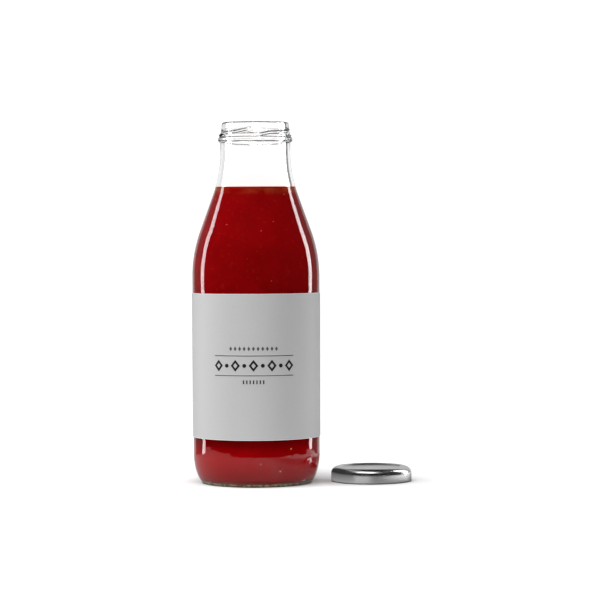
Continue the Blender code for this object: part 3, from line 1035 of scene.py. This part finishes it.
outside += arc(corner, LID_SHOULDER, 90, 3, 20)
curl_middle = (LID_RADIUS - LID_CURL / 2, LID_CURL / 2)
curl = arc(curl_middle, (LID_CURL / 2, LID_CURL / 2), 3, -200, 16)
outside += run(outside[-1], curl[0], 4) + curl
inside = [(curl_middle[0] - 0.2 * MM, LID_CURL * 0.7), (LID_SKIRT_RADIUS - TIN, LID_CURL * 1.1)]
inside += arc(corner, (LID_SHOULDER[0] - TIN, LID_SHOULDER[1] - TIN), 0, 90, 12)
inside += [(LID_PANEL_RADIUS + 2 * TIN, LID_HEIGHT - TIN)]
inside += [(LID_PANEL_RADIUS + TIN, panel_level - TIN)]
inside += run((LID_PANEL_RADIUS, panel_level - TIN), (0, panel_level - TIN), 5)
inside += [(0, panel_level - TIN)]
lid = turned("lid_tinplate", outside + inside, 192, LID_AXIS)
tinplate = new_material("tinplate")
place, parts = object_place()
centred = nodes.new("ShaderNodeMapping")
centred.inputs["Location"].default_value = (-LID_AXIS.x, -LID_AXIS.y, 0)
links.new(place, centred.inputs["Vector"])
drawn_out = nodes.new("ShaderNodeMapping")
drawn_out.inputs["Scale"].default_value = (60, 60, 1500)
links.new(centred.outputs["Vector"], drawn_out.inputs["Vector"])
brushed = noise_over(drawn_out.outputs["Vector"], 1.0, 5)
tin = mixed(brushed, (0.74, 0.74, 0.745, 1), (0.86, 0.86, 0.865, 1))
# The foot of the curl is painted dark grey: painted shade where the lid meets the table.
curl_painted_shade = mapped(parts["Z"], 0.45 * MM, 0.85 * MM)
tin = mixed(curl_painted_shade, (0.16, 0.16, 0.16, 1), tin)
flattened = nodes.new("ShaderNodeVectorMath")
flattened.operation = "MULTIPLY"
flattened.inputs[1].default_value = (1, 1, 0)
links.new(centred.outputs["Vector"], flattened.inputs[0])
from_middle = nodes.new("ShaderNodeVectorMath")
from_middle.operation = "LENGTH"
links.new(flattened.outputs["Vector"], from_middle.inputs[0])
# The pressed step round the sunk middle is painted darker grey, a painted shade on its wall, and is
# rougher there.
step = (LID_PANEL_RADIUS - 0.25 * MM, LID_PANEL_RADIUS + 0.1 * MM)
step_painted_shade_and_roughness = band(from_middle.outputs["Value"], step[0], step[1], 0.08 * MM)
tin = mixed(step_painted_shade_and_roughness, tin, (0.48, 0.48, 0.48, 1))
rubbed = math_node("ADD", mapped(brushed, 0, 1, 0.2, 0.25), math_node("MULTIPLY", step_painted_shade_and_roughness, 0.3))
round_about = nodes.new("ShaderNodeTangent")
round_about.direction_type = "RADIAL"
round_about.axis = "Z"
metal = principled(
    {
        "Base Color": tin,
        "Metallic": 1.0,
        "Roughness": rubbed,
        "Specular Tint": (0.8, 0.8, 0.8, 1),
        "Anisotropic": 0.5,
        "Tangent": round_about.outputs["Tangent"],
        "Normal": relief(brushed, 0.008, 0.05 * MM),
    }
)
end_material(metal)
lid.data.materials.append(tinplate)
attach(lid, "root")
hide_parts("lid")

# Lid lugs and sealing ring
# Four tongues bent in from the curl, which catch under the bottle's threads, and the ring of soft
# pale compound poured under the crown, which seals on the lip.

LUG_COUNT = 4
LUG_DEPTH = 1.9 * MM
LUG_WIDTH = 6.0 * MM
LUG_THICK = 0.5 * MM
LUG_LEVEL = 0.55 * MM
LUG_RADIUS = 24.2 * MM
RING_MIDDLE = 20.6 * MM
RING_HALF = 1.2 * MM
RING_DEPTH = 1.1 * MM
lugs = []
for i in range(LUG_COUNT):
    angle = math.tau * (i + 0.5) / LUG_COUNT
    bpy.ops.object.select_all(action="DESELECT")
    bpy.ops.mesh.primitive_cube_add(
        size=1,
        location=(
            LID_AXIS.x + LUG_RADIUS * math.cos(angle),
            LID_AXIS.y + LUG_RADIUS * math.sin(angle),
            LUG_LEVEL,
        ),
        rotation=(0, 0, angle),
        scale=(LUG_DEPTH, LUG_WIDTH, LUG_THICK),
    )
    bpy.ops.object.transform_apply(location=True, rotation=True, scale=True)
    bpy.ops.object.mode_set(mode="EDIT")
    bpy.ops.mesh.select_all(action="SELECT")
    bpy.ops.mesh.bevel(offset=0.4 * LUG_THICK, segments=3, affect="EDGES")
    bpy.ops.object.mode_set(mode="OBJECT")
    lugs.append(bpy.context.object)
tongues = joined(lugs, "lid_lugs")
bpy.ops.object.shade_smooth_by_angle(angle=math.radians(40))
tongues.data.materials.append(tinplate)
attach(tongues, "root")

under_crown = LID_HEIGHT - TIN
ring_outline = arc((RING_MIDDLE, under_crown), (RING_HALF, RING_DEPTH), 0, -180, 12)
seal = turned("lid_sealing_ring", ring_outline + [ring_outline[0]], 128, LID_AXIS)
compound = new_material("sealing_compound")
cream = mottled(300, 2, (0.56, 0.54, 0.48), (0.66, 0.64, 0.58))
end_material(principled({"Base Color": cream["Color"], "Roughness": 0.45}))
seal.data.materials.append(compound)
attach(seal, "root")
